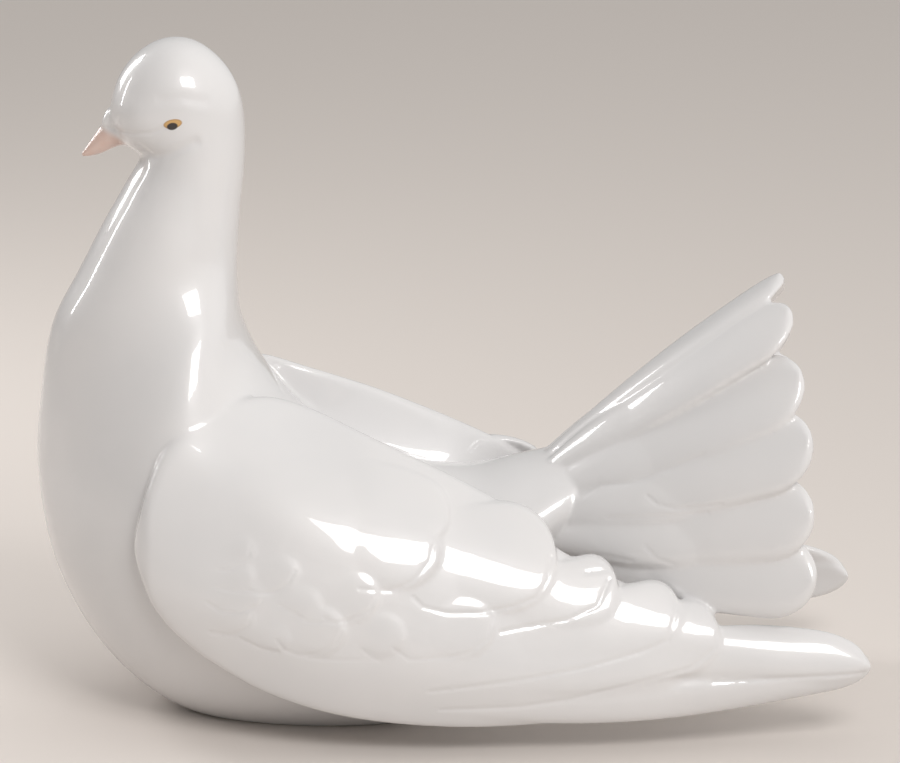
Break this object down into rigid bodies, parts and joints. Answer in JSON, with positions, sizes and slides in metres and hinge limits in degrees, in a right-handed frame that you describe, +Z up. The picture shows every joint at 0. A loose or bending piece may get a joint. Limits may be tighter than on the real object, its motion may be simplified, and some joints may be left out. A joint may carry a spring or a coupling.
{
  "type": "dove statue",
  "caption": "Glazed white porcelain dove lying on its breast, head up, wings folded back and low, tail fanned into an arch; rests on a flat under the breast.",
  "frame": {"origin": "middle of the flat under the breast that the dove rests on, at table height", "axes": "-X is the way the bird faces, +X runs back to the wing tips and tail, -Y is the bird's left side, +Z is up"},
  "size_m": [0.253, 0.1286, 0.2086],
  "materials": {
    "porcelain": "glossy clear glaze over white porcelain; bill painted soft pink, eyes painted amber and dark brown, unglazed rim under the breast"
  },
  "bodies": {
    "root": {"dove": "porcelain"}
  },
  "joints": []
}
